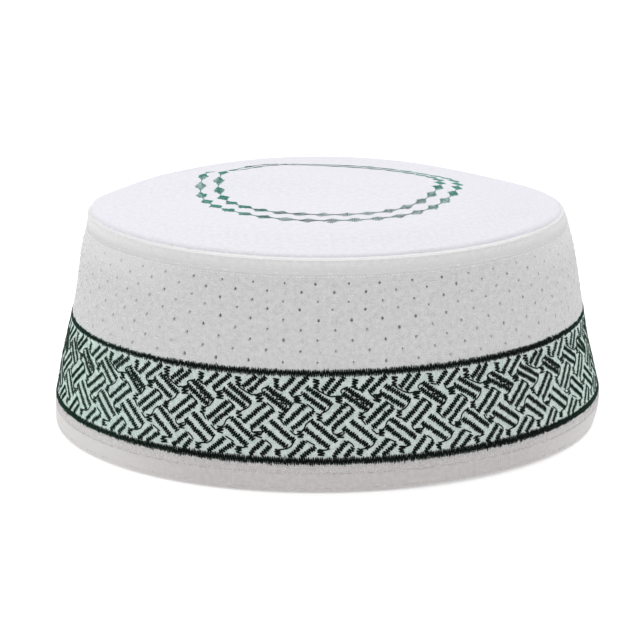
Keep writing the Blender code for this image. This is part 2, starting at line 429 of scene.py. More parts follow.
def turned_cloth(name, profile, around, closed):
    """A circle of edges, extruded and scaled through a profile of (radius, height) rows.

    A closed profile makes a ring. An open one starts and ends at the axis, where it is merged to a point.
    """
    deselect()
    radius, height = profile[0]
    bpy.ops.mesh.primitive_circle_add(vertices=around, radius=radius * MM, location=(0, 0, height * MM))
    piece = bpy.context.active_object
    piece.name = piece.data.name = name
    bpy.ops.object.transform_apply(location=True)
    edit(piece)
    bpy.ops.mesh.select_mode(type="EDGE")
    for next_radius, next_height in profile[1:]:
        rise = (0, 0, (next_height - height) * MM)
        bpy.ops.mesh.extrude_edges_move(TRANSFORM_OT_translate={"value": rise})
        grow = next_radius / radius
        centre = (0, 0, next_height * MM)
        bpy.ops.transform.resize(value=(grow, grow, 1), center_override=centre)
        radius, height = next_radius, next_height
    if closed:
        bpy.ops.mesh.select_all(action="DESELECT")
        bpy.ops.mesh.select_non_manifold(extend=False)
        bpy.ops.mesh.bridge_edge_loops()
    else:
        for end_height in (profile[0][1] * MM, profile[-1][1] * MM):
            select_where(piece, lambda co: hypot(co.x, co.y) < AT_AXIS and abs(co.z - end_height) < AT_AXIS)
            bpy.ops.mesh.merge(type="CENTER")
    bpy.ops.mesh.select_all(action="SELECT")
    bpy.ops.mesh.normals_make_consistent(inside=False)
    leave()
    return piece


FORM_RADIUS = 100.0


def lay_on_side(piece):
    """Moves a turned strip, modelled round a 100 mm form, on to the cap's side."""
    x, y, z = (coordinates(piece.data) / MM).T
    turn = np.arctan2(x, -y) / (2 * pi)
    out = np.hypot(x, y) - FORM_RADIUS
    round_m = float(mm_per_turn(z.mean())) * MM
    lay_cloth_map(piece.data, turn * mm_per_turn(z) * MM, (z + out) * MM, round_m)
    move_to(piece.data, on_side(turn, z, out))


# Cloth pieces. Profiles are rows of (out of the side's face, height)

SIDE_ROUND = 240
CROWN_ROUND = 168
CROWN_FLARE = ((0.30, 78.35), (-0.05, 78.62), (-0.02, 78.9))
CORNER_STEPS = 8
DOME_STEP = 0.8
AXIS_RADIUS = 0.02
LINING_FIRST_RING = 8
LINING_RINGS = 12
FLAP_FOOT = 77.6
FLAP_IN = 0.4

ROLL = ((0.10, 78.46), (0.36, 78.58), (0.64, 78.46), (0.80, 78.20), (0.78, 77.92), (0.58, 77.70))
BAND_FACE = (
    (0.38, 77.55), (0.34, 77.1), (0.38, 76.6), (0.30, 76.1), (0.34, 75.6), (0.25, 75.1), (0.29, 74.5),
    (0.20, 74.0), (0.22, 73.4), (0.14, 73.0), (0.06, 72.65), (0.02, 72.62),
)
BAND_INSIDE = (
    (0.0, EDGE_BAND_FOOT), (-0.65, EDGE_BAND_FOOT), (-0.65, 76.1), (-WALL_THICK, 76.1),
    (-WALL_THICK, 76.7), (-0.3, 76.7), (-0.3, 77.55),
)

HEM_FACE = (
    (-0.02, 9.44), (0.0, 9.1), (0.02, 8.5), (0.02, 7.8), (0.0, 7.2), (-0.10, 6.75), (0.06, 6.4), (0.12, 6.0),
    (0.04, 5.5), (0.15, 5.0), (0.07, 4.5), (0.17, 3.9), (0.08, 3.3), (0.15, 2.7), (0.04, 2.1), (-0.06, 1.7),
    (0.06, 1.2),
)
HEM_FOLD = ((-0.08, 0.6), (-0.4, 0.2), (-0.9, 0), (0.9 - HEM_THICK, 0), (0.4 - HEM_THICK, 0.2))
HEM_INSIDE = ((-HEM_THICK, 1.0), (-HEM_THICK, 9.44))

# The hem's fold has sprung up a little, right of the front, between these shares of the way round
SPRUNG_HIGH = 0.55
SPRUNG_TALL = 5.0
SPRUNG_AT = (0.012, 0.042, 0.09, 0.17)

CELL_SIDES = 12
EYELET_GROWS = (0.85, 1.1)
OPEN_SHARE = 0.3
END_NARROWING = 0.5  # how much narrower the throats are at the cap's ends
OFF_PLACE = 0.04  # in columns and rows
CLOTH_BELOW = (41.5, 40.0, 36.0, 31.0, 25.0, 19.0, 14.0, 9.45)
LEDGE = EDGE_BAND_FOOT - 0.05  # the edge band's foot covers this step
LEDGE_RISE = 0.05
LEDGE_DEEP = 0.95
CLOTH_TOP = 75.8
CLOSE = 0.02 * MM


def make_crown_cloth(material):
    """The domed top down to the seam, where it turns out over the rolled line; lightly quilted in rings."""
    seam = float(half_width(CROWN_FOOT))
    foot = [(seam + out, height) for out, height in CROWN_FLARE]
    corner = []
    first, last = SHOULDER_ARC_DEG
    for step in range(CORNER_STEPS + 1):
        turn = radians(first + (last - first) * step / CORNER_STEPS)
        out, up = SHOULDER_RADIUS * cos(turn), SHOULDER_RADIUS * sin(turn)
        corner.append((CORNER_RADIUS_AT + out, CORNER_HEIGHT_AT + up))
    inner = corner[-1][0]
    rings = int(inner / DOME_STEP)
    dome = []
    for ring in range(1, rings + 1):
        radius = inner * (1 - ring / rings) + AXIS_RADIUS
        dome.append((radius, float(dome_height(radius))))
    lining_edge = seam - CROWN_THICK
    lining = [(AXIS_RADIUS, float(dome_height(0)) - CROWN_THICK)]
    for radius in np.linspace(LINING_FIRST_RING, lining_edge - 1, LINING_RINGS):
        lining.append((radius, float(dome_height(radius)) - CROWN_THICK))
    lining += [(lining_edge, CROWN_FOOT), (lining_edge, FLAP_FOOT), (seam - FLAP_IN, FLAP_FOOT)]
    piece = turned_cloth("crown_cloth", lining + foot + corner + dome, CROWN_ROUND, closed=False)
    x, y, z = (coordinates(piece.data) / MM).T
    radius, angle = np.hypot(x, y), np.arctan2(y, x)
    is_top = z > crown_height(radius) - CROWN_THICK / 2
    points = on_form(radius, angle, z, np.where(is_top, crown_relief(radius, angle), 0))
    lay_cloth_map(piece.data, points[:, 0], points[:, 1] + (z - SHOULDER_HEIGHT) * MM)
    move_to(piece.data, points)
    smooth(piece)
    return finished(piece, material, "crown_cotton", "crown_panel")


def ring_of_cloth(name, profile):
    """A ring turned from a profile, round the 100 mm form."""
    rows = [(FORM_RADIUS + out, height) for out, height in profile]
    return turned_cloth(name, rows, SIDE_ROUND, closed=True)


def make_edge_band(material):
    """The crown's turned edge: a fine rolled line along the seam and a narrow band under it."""
    piece = ring_of_cloth("edge_band", ROLL + BAND_FACE + BAND_INSIDE)
    lay_on_side(piece)
    smooth(piece)
    return finished(piece, material, "side_cotton", "crown_edge_band")


def make_eyelet_cell():
    """One eyelet in its piece of cloth, modelled flat: rings round the hole, then a rectangle."""
    deselect()
    bpy.ops.mesh.primitive_circle_add(vertices=CELL_SIDES, radius=1, rotation=(pi / 2, 0, 0))
    cell = bpy.context.active_object
    bpy.ops.object.transform_apply(rotation=True)
    edit(cell)
    wide, tall = 1.0, 1.0
    for next_wide, next_tall, _ in EYELET_RINGS:
        if wide != 1.0:
            bpy.ops.mesh.extrude_edges_move(TRANSFORM_OT_translate={"value": (0, 0, 0)})
        bpy.ops.transform.resize(value=(next_wide / wide, 1, next_tall / tall))
        wide, tall = next_wide, next_tall
    bpy.ops.mesh.extrude_edges_move(TRANSFORM_OT_translate={"value": (0, 0, 0)})
    widening = 3
    bpy.ops.transform.resize(value=(widening, 1, 1.1))
    leave()
    outline = [(0.5, 0), (0.5, 0.5), (0.25, 0.5), (0, 0.5), (-0.25, 0.5), (-0.5, 0.5),
               (-0.5, 0), (-0.5, -0.5), (-0.25, -0.5), (0, -0.5), (0.25, -0.5), (0.5, -0.5)]
    rim = [vertex for vertex in cell.data.vertices if vertex.index >= CELL_SIDES * len(EYELET_RINGS)]
    rim.sort(key=lambda vertex: np.arctan2(vertex.co.z * widening, vertex.co.x) % (2 * pi))
    for vertex, (across, up) in zip(rim, outline):
        vertex.co = (across * CELL_WIDE, 0, up * CELL_TALL)
    return cell


def spread_cells(unit):
    """The points of every eyelet's cell, as turns in radians and heights. No two eyelets are the same."""
    row_count = len(EYELET_ROWS)
    column, row = np.meshgrid(np.arange(EYELETS_ROUND), np.arange(row_count))
    column, row = column.ravel(), row.ravel()
    count = len(column)
    ring_of = np.arange(len(unit)) // CELL_SIDES
    inside = ring_of[None, :] < len(EYELET_RINGS)
    grow = np.where(inside, rng.uniform(*EYELET_GROWS, count)[:, None], 1)
    is_open = rng.uniform(size=count) < OPEN_SHARE
    throat = np.where(is_open, OPEN_THROAT, rng.uniform(*NARROW_THROAT, count))
    throat = throat * (1 - END_NARROWING * end_share(column / EYELETS_ROUND + EYELET_START))
    off_place = rng.uniform(-OFF_PLACE, OFF_PLACE, (count, 2))
    grow = grow * np.where(ring_of[None, :] == 0, throat[:, None], 1)
    slant = EYELET_SLANT * (row_count - 1 - row[:, None])
    cells = column[:, None] + 0.5 * (row[:, None] % 2) + unit[None, :, 0] * grow / CELL_WIDE
    cells = cells + (off_place[:, :1] + slant) * inside
    rows = row[:, None] + unit[None, :, 2] * grow / CELL_TALL + off_place[:, 1:] * inside
    before, after = 2 * EYELET_ROWS[0] - EYELET_ROWS[1], 2 * EYELET_ROWS[-1] - EYELET_ROWS[-2]
    heights = np.interp(rows, np.arange(-1, row_count + 1), [before, *EYELET_ROWS, after])
    return (cells / EYELETS_ROUND + EYELET_START) * 2 * pi, heights


def make_side_cloth(material):
    """The strip round the head: eyelet cells in staggered rows, and plain cloth above and below them."""
    cell = make_eyelet_cell()
    unit = coordinates(cell.data)
    faces = np.array([list(polygon.vertices) for polygon in cell.data.polygons])
    bpy.data.objects.remove(cell)
    turns, heights = spread_cells(unit)
    count = len(turns)
    across, along = FORM_RADIUS * np.sin(turns), -FORM_RADIUS * np.cos(turns)
    points = np.stack([across.ravel(), along.ravel(), heights.ravel()], axis=-1) * MM
    every_face = (faces[None] + (np.arange(count) * len(unit))[:, None, None]).reshape(-1, 4)
    mesh = bpy.data.meshes.new("side_cloth")
    mesh.from_pydata(points.tolist(), [], every_face.tolist())
    outs = np.array([out for _, _, out in EYELET_RINGS] + [0.0])
    relief = mesh.attributes.new("relief", "FLOAT", "POINT")
    relief.data.foreach_set("value", np.tile(outs[np.arange(len(unit)) // CELL_SIDES], count))
    piece = bpy.data.objects.new("side_cloth", mesh)
    bpy.context.scene.collection.objects.link(piece)
    edit(piece)
    bpy.ops.mesh.select_mode(type="VERT")
    bpy.ops.mesh.remove_doubles(threshold=CLOSE)
    leave()
    extrude_edge(piece, min, CLOTH_BELOW)
    extrude_edge(piece, max, (LEDGE, LEDGE + LEDGE_RISE, CLOTH_TOP))
    give_cloth_thickness(piece)
    lay_on_side(piece)
    smooth(piece)
    return finished(piece, material, "side_cotton", "side_wall")


def extrude_edge(piece, lowest_or_highest, heights):
    """Carries the strip's lowest or highest edge on to each height in turn."""
    for height in heights:
        level = lowest_or_highest(coordinates(piece.data)[:, 2])
        edit(piece)
        select_where(piece, lambda co: abs(co.z - level) < CLOSE)
        bpy.ops.mesh.select_mode(type="EDGE")
        bpy.ops.mesh.extrude_edges_move(TRANSFORM_OT_translate={"value": (0, 0, height * MM - level)})
        leave()


def give_cloth_thickness(piece):
    """Makes the strip a wall, then shapes its outer face: eyelet rims, and the step back above the ledge."""
    edit(piece)
    bpy.ops.mesh.normals_make_consistent(inside=False)
    leave()
    if piece.data.polygons[0].normal.dot(piece.data.polygons[0].center) < 0:
        edit(piece)
        bpy.ops.mesh.flip_normals()
        leave()
    outer = len(piece.data.vertices)
    wall = piece.modifiers.new("Cloth thickness", "SOLIDIFY")
    wall.thickness = WALL_THICK * MM
    wall.offset = -1
    bpy.ops.object.modifier_apply(modifier=wall.name)
    points = coordinates(piece.data)
    relief = np.zeros(len(points))
    piece.data.attributes["relief"].data.foreach_get("value", relief)
    relief[outer:] = 0
    relief[:outer] -= np.where(points[:outer, 2] > LEDGE * MM + CLOSE, LEDGE_DEEP, 0)
    reach = np.hypot(points[:, 0], points[:, 1])
    points[:, :2] *= ((reach + relief * MM) / reach)[:, None]
    move_to(piece.data, points)
    piece.data.attributes.remove(piece.data.attributes["relief"])


def make_hem_cloth(material):
    """The folded hem: pressed lines along it, a groove where it is top-stitched, a soft fold below."""
    piece = ring_of_cloth("hem_cloth", HEM_FACE + HEM_FOLD + HEM_INSIDE)
    points = coordinates(piece.data)
    turn = np.arctan2(points[:, 0], -points[:, 1]) / (2 * pi)
    sprung = SPRUNG_HIGH * MM * np.interp(turn, SPRUNG_AT, (0, 1, 1, 0))
    points[:, 2] += sprung * np.clip(1 - points[:, 2] / (SPRUNG_TALL * MM), 0, 1)
    move_to(piece.data, points)
    lay_on_side(piece)
    smooth(piece, 60)
    return finished(piece, material, "hem_cotton", "rim_hem")


# Stitches

STITCH_BODY = 0.72  # the share of a stitch's length that has its full thickness
SHORTEST = 0.05
SATIN_RISE = (0.34, 0.46)
WORN_NARROWER = 0.05
WORN_FLATTER = 0.35

STROKE_OFF = 0.012  # how far a stroke's ends are off their places, in repeats
STROKE_LIFT = 0.15  # and in mm
KNOT_WIDER = 1.35
KNOT_TOOTH = 0.9
KNOT_THREAD = 0.50
KNOT_LOOSE = 0.2

BORDER_STEP = 0.30
BORDER_LEAN = 0.15
BORDER_UNEVEN = 0.23
BORDER_THREAD = 0.35
BORDER_THICK = 0.40
BORDER_RISE = (0.50, 0.62)
BORDER_WORN = 0.3
BORDER_FOOT = (0.15, 0.30)  # how far its stitches reach past it, and how much less at the cap's ends
BORDER_TOP = (0.20, 0.35)

DIAMOND_STEP = 0.74
DIAMOND_SLANT = 0.45
DIAMOND_RAGGED = 0.20
DIAMOND_STITCH = (0.52, 0.30, 0.20)
DIAMOND_LINK = 0.40

CROWN_ROWS_FROM = 5.4
CROWN_DENSE_FROM = 66
CROWN_STITCH = 3.3
OVERCAST_STEP = 0.62
RECAUGHT = ((-4.5, -3.1), (1.3, 2.4))

EDGE_ROWS = (
    # height_mm, stitch_mm, thread_mm, rise_mm
    (76.6, 2.4, 0.36, 0.50),
    (74.6, 2.4, 0.36, 0.46),
    (73.4, 2.4, 0.34, 0.36),
    (72.0, 0.95, 0.34, 0.12),
)

LATTICE_SHARES = (0.12, 0.26, 0.40, 0.54, 0.68, 0.82)
LATTICE_KEPT = 0.7  # the share of the lattice's stitches that can be seen
LATTICE_HALF = (0.30, 0.24)  # half a stitch, across and up
KNOT_HALF = (0.03, 0.40)  # half a small knot's stitch, in repeats and in mm

HEM_LOOSE_ROWS = (9.25, 8.55, 7.85, 7.2)
HEM_LOOSE_STEP = 0.78
TOP_STITCHING = (
    # height_mm, rise_mm
    (6.75, 0.08),
    (1.7, 0.05),
)
TOP_STITCH = 2.4


def make_stitch():
    """One stitch 1 long, 1 wide and 1 thick, lying along X: a four-sided thread with pointed ends."""
    deselect()
    bpy.ops.mesh.primitive_cylinder_add(vertices=4, radius=0.5, depth=STITCH_BODY, end_fill_type="TRIFAN",
                                        rotation=(0, pi / 2, 0))
    stitch = bpy.context.active_object
    bpy.ops.object.transform_apply(rotation=True)
    for vertex in stitch.data.vertices:
        if hypot(vertex.co.y, vertex.co.z) < 0.01:
            vertex.co.x = 0.5 if vertex.co.x > 0 else -0.5
    points = coordinates(stitch.data)
    faces = [list(polygon.vertices) for polygon in stitch.data.polygons]
    bpy.data.objects.remove(stitch)
    return points, faces


def sew(name, stitches, place, mm_per_unit, material, slot, nodes=()):
    """Lays one stitch for each row (a, b, to_a, to_b, wide, thick, rise) as one joined mesh."""
    from_a, from_b, to_a, to_b, wide, thick, rise = np.array(stitches, dtype=float).T
    middle_a, middle_b = (from_a + to_a) / 2, (from_b + to_b) / 2
    scale = mm_per_unit(middle_b)
    along_x, along_y = (to_a - from_a) * scale, to_b - from_b
    length = np.maximum(np.hypot(along_x, along_y), SHORTEST)
    side_x, side_y = -along_y / length, along_x / length
    u, v, w = (STITCH_POINTS[:, i][None, :] for i in range(3))
    a = middle_a[:, None] + u * (to_a - from_a)[:, None] + v * (wide * side_x / scale)[:, None]
    b = middle_b[:, None] + u * along_y[:, None] + v * (wide * side_y)[:, None]
    out = w * thick[:, None] + rise[:, None] * (1 - (2 * u) ** 2) - SUNK
    points = place(a.ravel(), b.ravel(), out.ravel())
    count, per_stitch = len(length), STITCH_POINTS.shape[0]
    faces = []
    for face in STITCH_FACES:
        faces += (np.array(face)[None, :] + (np.arange(count) * per_stitch)[:, None]).tolist()
    mesh = bpy.data.meshes.new(name)
    mesh.from_pydata(points.tolist(), [], faces)
    # every stitch lies somewhere else on the thread's map, so each has its own tone
    along = u * length[:, None] * MM + rng.uniform(0, 1, count)[:, None]
    across = v * wide[:, None] * MM + rng.uniform(0, 1, count)[:, None]
    lay_cloth_map(mesh, along.ravel(), across.ravel())
    mesh.shade_smooth()
    piece = bpy.data.objects.new(name, mesh)
    bpy.context.scene.collection.objects.link(piece)
    return finished(piece, material, slot, *nodes)


def satin(start, end, wide, tooth, scale, thread=THREAD_WIDE, loose=0.12):
    """A bar of zigzag stitches between two points, whose ends stand out at both sides as teeth.

    Towards the cap's ends, where it is seen aslant, the thread has worn thinner and flatter.
    """
    worn = float(end_share((start[0] + end[0]) / 2 / REPEATS))
    wide, thread = wide * (1 - WORN_NARROWER * worn), thread * (1 - WORN_NARROWER * worn)
    start_x, start_y = start[0] * scale, start[1]
    along_x, along_y = end[0] * scale - start_x, end[1] - start_y
    length = hypot(along_x, along_y)
    along_x, along_y = along_x / length, along_y / length
    count = max(3, int(round(length / (tooth / 2))))
    points = []
    for step in range(count + 1):
        way = length * step / count + rng.normal(0, loose * 0.4)
        side = (0.5 if step % 2 else -0.5) * wide + rng.normal(0, loose)
        x, y = start_x + along_x * way - along_y * side, start_y + along_y * way + along_x * side
        points.append((x / scale, y))
    rows = []
    for (a, b), (to_a, to_b) in zip(points, points[1:]):
        rise = rng.uniform(*SATIN_RISE) * (1 - WORN_FLATTER * worn)
        rows.append((a, b, to_a, to_b, thread, THREAD_THICK, rise))
    return rows


def thread_line(points, thread, rise=0.24, overlap=0.15):
    """A run of stitches through points, each a little longer than its step."""
    rows = []
    for (a, b), (to_a, to_b) in zip(points, points[1:]):
        more_a, more_b = (to_a - a) * overlap, (to_b - b) * overlap
        rows.append((a - more_a, b - more_b, to_a + more_a, to_b + more_b, thread, thread, rise))
    return rows


def mm_per_repeat(height):
    return mm_per_turn(height) / REPEATS


def on_band(repeat, height, out):
    return on_side(repeat / REPEATS, height, out)


def repeated(chart):
    """A chart's rows at each period round the cap."""
    for period in range(REPEATS // PERIOD):
        for row in chart:
            yield period * PERIOD, row


def make_strokes(name, chart, material):
    """The bars that lean one way, each a little off its place."""
    rows = []
    for shift, (start, foot, end, top) in repeated(chart):
        shake = rng.normal(0, STROKE_OFF, 2)
        lift = rng.normal(0, STROKE_LIFT, 2)
        first = (start + shift + shake[0], foot + lift[0])
        last = (end + shift + shake[1], top + lift[1])
        rows += satin(first, last, STROKE_WIDE, STROKE_TOOTH, float(mm_per_repeat((foot + top) / 2)))
    return sew(name, rows, on_band, mm_per_repeat, material, "green_thread")


def make_knots(material):
    """The small loose knots between the strokes, and the thin threads that run from one to the next."""
    rows = []
    for shift, (at, foot, top, wide) in repeated(KNOTS):
        lean = rng.normal(0, 0.02)
        first, last = (at + shift - lean, foot), (at + shift + lean, top)
        rows += satin(first, last, KNOT_WIDER * wide, KNOT_TOOTH, float(mm_per_repeat(foot)),
                      thread=KNOT_THREAD, loose=KNOT_LOOSE)
    for shift, points in repeated(THIN_THREADS):
        moved = [(at + shift, height + rng.normal(0, 0.05)) for at, height in points]
        rows += thread_line(moved, THIN_THREAD)
    return sew("knots_and_runs", rows, on_band, mm_per_repeat, material, "green_thread")


def make_satin_border(name, low, high, node, material):
    """A border of upright zigzag stitches, uneven at both edges."""
    count = int(mm_per_turn((low + high) / 2) / BORDER_STEP)
    per_mm = REPEATS / (count * BORDER_STEP)
    rows = []
    for index in range(count):
        at = (index * BORDER_STEP + rng.normal(0, 0.03)) * per_mm
        lean = (BORDER_LEAN if index % 2 else -BORDER_LEAN) * per_mm
        worn = float(end_share(at / REPEATS))
        uneven = rng.normal(0, BORDER_UNEVEN, 2)
        foot = low - BORDER_FOOT[0] + BORDER_FOOT[1] * worn + uneven[0]
        top = high + BORDER_TOP[0] - BORDER_TOP[1] * worn + uneven[1]
        flat = 1 - BORDER_WORN * worn
        rise = rng.uniform(*BORDER_RISE) * flat
        rows.append((at - lean, foot, at + lean, top, BORDER_THREAD, BORDER_THICK * flat, rise))
    return sew(name, rows, on_band, mm_per_repeat, material, "green_thread", nodes=(node,))


def same_scale(height):
    return np.ones_like(height)


def on_ring(turn, radius):
    """A point of the crown's rings: an angle from the front towards the left, and a radius."""
    return DIAMOND_CENTRE[0] - radius * sin(turn), DIAMOND_CENTRE[1] - radius * cos(turn)


def make_diamonds(material):
    """Two rings of small diamonds in flat slanting stitches, joined tip to tip by a thin run."""
    rows = []
    for ring, count, first in DIAMOND_RINGS:
        pitch = 2 * pi * ring / count
        for index in range(count):
            start = index * pitch
            for offset in np.arange(-DIAMOND_HALF_LONG + DIAMOND_STEP / 2, DIAMOND_HALF_LONG, DIAMOND_STEP):
                reach = DIAMOND_HALF_WIDE * (1 - abs(offset) / DIAMOND_HALF_LONG) + 0.25
                shake = rng.normal(0, DIAMOND_RAGGED, 2)
                inner = on_ring(first + (start + offset - DIAMOND_SLANT) / ring, ring - reach + shake[0])
                outer = on_ring(first + (start + offset + DIAMOND_SLANT) / ring, ring + reach + shake[1])
                rows.append((*inner, *outer, *DIAMOND_STITCH))
            tip = DIAMOND_HALF_LONG - 0.4
            ways = np.linspace(start + tip, start + pitch - tip, 4)
            rows += thread_line([on_ring(first + way / ring, ring) for way in ways], DIAMOND_LINK, rise=0.12)
    return sew("crown_diamonds", rows, on_crown, same_scale, material, "green_thread")


def make_crown_stitches(material):
    """Flat rings of white running stitch all over the crown, closer together towards its edge."""
    rows = []
    radius = CROWN_ROWS_FROM
    while radius < CORNER_RADIUS_AT:
        count = int(ROUND_PER_HALF_WIDTH * radius / CROWN_STITCH)
        for index in range(count):
            start = (index + rng.uniform(0, 0.4)) / count
            end = start + rng.uniform(0.4, 0.8) / count
            ends = []
            for turn in (start, end):
                angle = float(angle_at(turn))
                off = radius + rng.normal(0, 0.12)
                ends += [off * cos(angle), off * DEPTH_RATIO * sin(angle)]
            lift = 0.03 if radius > CROWN_DENSE_FROM else 0
            rows.append((*ends, 0.36, 0.16 + lift, rng.uniform(0.02, 0.08) + lift))
        radius += QUILT_STEP if radius < CROWN_DENSE_FROM else QUILT_STEP / 2
    return sew("crown_stitches", rows, on_crown, same_scale, material, "crown_cotton")


def make_edge_stitches(material):
    """White stitches along the edge band, small loops under it, the rolled line, and overcasting above it."""
    rows = []
    for height, stitch, thread, rise in EDGE_ROWS:
        count = int(mm_per_turn(height) / (stitch * 1.25))
        for index in range(count):
            start = (index + rng.uniform(0, 0.2)) * REPEATS / count
            end = start + rng.uniform(0.5, 0.85) * REPEATS / count
            heights = height + rng.normal(0, 0.12), height + rng.normal(0, 0.15)
            rows.append((start, heights[0], end, heights[1], thread, 0.30, rise + rng.uniform(-0.12, 0.08)))
    roll = [(at, 78.35 + rng.normal(0, 0.03)) for at in np.arange(0, REPEATS, 0.13)]
    rows += thread_line(roll, 0.78, rise=0.64, overlap=0.2)
    count = int(mm_per_turn(79) / OVERCAST_STEP)
    for index in range(count):
        at = (index + rng.normal(0, 0.12)) * REPEATS / count
        to_at, top = at + rng.normal(0, 0.012), 80.5 + rng.normal(0, 0.15)
        rows.append((at, 78.6, to_at, top, 0.50, 0.26, rng.uniform(0.06, 0.16)))
    return sew("edge_stitches", rows, on_edge, mm_per_repeat, material, "side_cotton")


def make_seam_overcast(material):
    """Even overcasting, its thread's darker, yellower tone painted shade, in the two places where the crown's
    edge was caught again.
    """
    rows = []
    for first, last in RECAUGHT:
        for at in np.arange(first, last, 0.082):
            rows.append((at, 78.6, at + rng.normal(0, 0.006), 80.62 + rng.normal(0, 0.05), 0.50, 0.30, 0.26))
    return sew("seam_overcast", rows, on_edge, mm_per_repeat, material, "crown_cotton")


def on_edge(repeat, height, out):
    """Points on the side, or higher up on the crown's rounded corner."""
    return on_band(repeat, height, out + np.where(height > CROWN_FOOT, corner_out(height), 0))


def make_side_stitches(material):
    """White lattice between the eyelets: short slanting stitches, with a small knot where its lines cross."""
    rows = []
    per_column = REPEATS / EYELETS_ROUND
    heights = [EYELET_ROWS[0] - 3.0, *EYELET_ROWS, EYELET_ROWS[-1] + 2.0]
    for row, (low, high) in enumerate(zip(heights, heights[1:])):
        off = 0.5 * ((row - 1) % 2) + EYELET_SLANT * (len(heights) - row)
        for column in range(EYELETS_ROUND):
            eyelet = EYELET_START * REPEATS + (column + off) * per_column
            cross = eyelet + 0.5 * per_column
            for end in (eyelet, eyelet + per_column):
                for share in LATTICE_SHARES:
                    at = cross + (end - cross) * share + rng.normal(0, 0.012)
                    height = low + (high - low) * share + rng.normal(0, 0.12)
                    lean = rng.choice((-1, 1)) * rng.uniform(0.1, 0.6)
                    across, up = LATTICE_HALF[0] / mm_per_repeat(height) * lean, LATTICE_HALF[1]
                    if rng.uniform() < LATTICE_KEPT:
                        rise = rng.uniform(0.08, 0.24)
                        rows.append((at - across, height - up, at + across, height + up, 0.42, 0.26, rise))
            for _ in range(2):
                at, height = cross + rng.normal(0, 0.03), low + rng.normal(0, 0.3)
                turn = rng.uniform(0, pi)
                across, up = KNOT_HALF[0] * cos(turn), KNOT_HALF[1] * sin(turn)
                rise = rng.uniform(0.2, 0.35)
                rows.append((at - across, height - up, at + across, height + up, 0.40, 0.3, rise))
    return sew("side_stitches", rows, on_band, mm_per_repeat, material, "side_cotton")


def make_hem_stitches(material):
    """Small loose stitches under the border, and two rows of top-stitching sunk in their grooves."""
    rows = []
    for row, height in enumerate(HEM_LOOSE_ROWS):
        count = int(mm_per_turn(height) / HEM_LOOSE_STEP)
        for index in range(count):
            at = (index + 0.5 * (row % 2) + rng.normal(0, 0.06)) * REPEATS / count
            rise = rng.uniform(0.14, 0.22)
            rows.append((at - 0.008, height - 0.30, at + 0.008, height + 0.30, 0.36, 0.24, rise))
    for height, rise in TOP_STITCHING:
        count = int(mm_per_turn(height) / TOP_STITCH)
        for index in range(count):
            start = (index + rng.uniform(0, 0.08)) * REPEATS / count
            end = start + 0.78 * REPEATS / count
            rows.append((start, height, end, height + rng.normal(0, 0.04), 0.34, 0.22, rise))
    return sew("hem_stitches", rows, on_band, mm_per_repeat, material, "hem_cotton")


# Materials

WAVE_SCALE = 2 * pi / 20  # a wave texture's scale for one wave in each metre
SLUB_MM = 1.6
MOTTLE_MM = 1.8
PLY_MM = 0.45
TONE_MM = 4
# Painted light and sheen: tones that change from the cap's front and back towards its two ends
ENDS_PAINTED_FROM_TO = (55, 100)  # from the middle towards either end, in mm
ENDS_PAINTED_MOST = 0.75

# Heights on the cloth between which its tone changes
FOOT_ENDS = (73 * MM, 77 * MM)
ROLL_BEGINS = (77.7 * MM, 78.3 * MM)
TOP_BEGINS = (60 * MM, 71 * MM)
BAND_BEGINS = (11 * MM, 13 * MM)
BAND_ENDS = (43 * MM, 38 * MM)


def linear(hex_colour):
    """An sRGB hex value as linear RGBA."""
    channels = [int(hex_colour[i:i + 2], 16) / 255 for i in (0, 2, 4)]
    return [c / 12.92 if c <= 0.04045 else ((c + 0.055) / 1.055) ** 2.4 for c in channels] + [1]


def add(tree, kind, inputs=None, **settings):
    """A node with its settings, its values and the sockets that feed it."""
    node = tree.nodes.new(kind)
    for name, value in settings.items():
        setattr(node, name, value)
    for socket, value in (inputs or {}).items():
        if isinstance(value, bpy.types.NodeSocket):
            tree.links.new(value, node.inputs[socket])
        else:
            node.inputs[socket].default_value = value
    return node


def mixed(tree, factor, first, second):
    """A colour between two others, each of them given or fed by a socket."""
    node = add(tree, "ShaderNodeMix", {"Factor": factor}, data_type="RGBA")
    for socket, value in ((node.inputs[6], first), (node.inputs[7], second)):
        if isinstance(value, bpy.types.NodeSocket):
            tree.links.new(value, socket)
        else:
            socket.default_value = value
    return node.outputs[2]


def ramp(tree, value, start, end):
    """0 below one value and 1 above another."""
    node = add(tree, "ShaderNodeMapRange", {"Value": value, "From Min": start, "From Max": end},
               interpolation_type="SMOOTHSTEP")
    return node.outputs["Result"]


def times(tree, first, second):
    return add(tree, "ShaderNodeMath", {0: first, 1: second}, operation="MULTIPLY").outputs[0]


def towards_the_ends(tree, start_mm=ENDS_PAINTED_FROM_TO[0], end_mm=ENDS_PAINTED_FROM_TO[1]):
    """0 along the cap's front and back, 1 at its two ends: the mask by which painted light, highlights and
    sheen differ between the front and the ends.
    """
    place = add(tree, "ShaderNodeTexCoord")
    parts = add(tree, "ShaderNodeSeparateXYZ", {"Vector": place.outputs["Object"]})
    side = add(tree, "ShaderNodeMath", {0: parts.outputs["X"]}, operation="ABSOLUTE")
    return ramp(tree, side.outputs[0], start_mm * MM, end_mm * MM)


def new_material(name, roughness, sheen, sheen_colour, sheen_roughness=0.4, specular=0.3):
    made = bpy.data.materials.new(name)
    made.use_nodes = True
    tree = made.node_tree
    shader = tree.nodes["Principled BSDF"]
    shader.inputs["Metallic"].default_value = 0
    shader.inputs["Roughness"].default_value = roughness
    shader.inputs["Specular IOR Level"].default_value = specular
    shader.inputs["Sheen Weight"].default_value = sheen
    shader.inputs["Sheen Roughness"].default_value = sheen_roughness
    shader.inputs["Sheen Tint"].default_value = linear(sheen_colour)
    return made, tree, shader


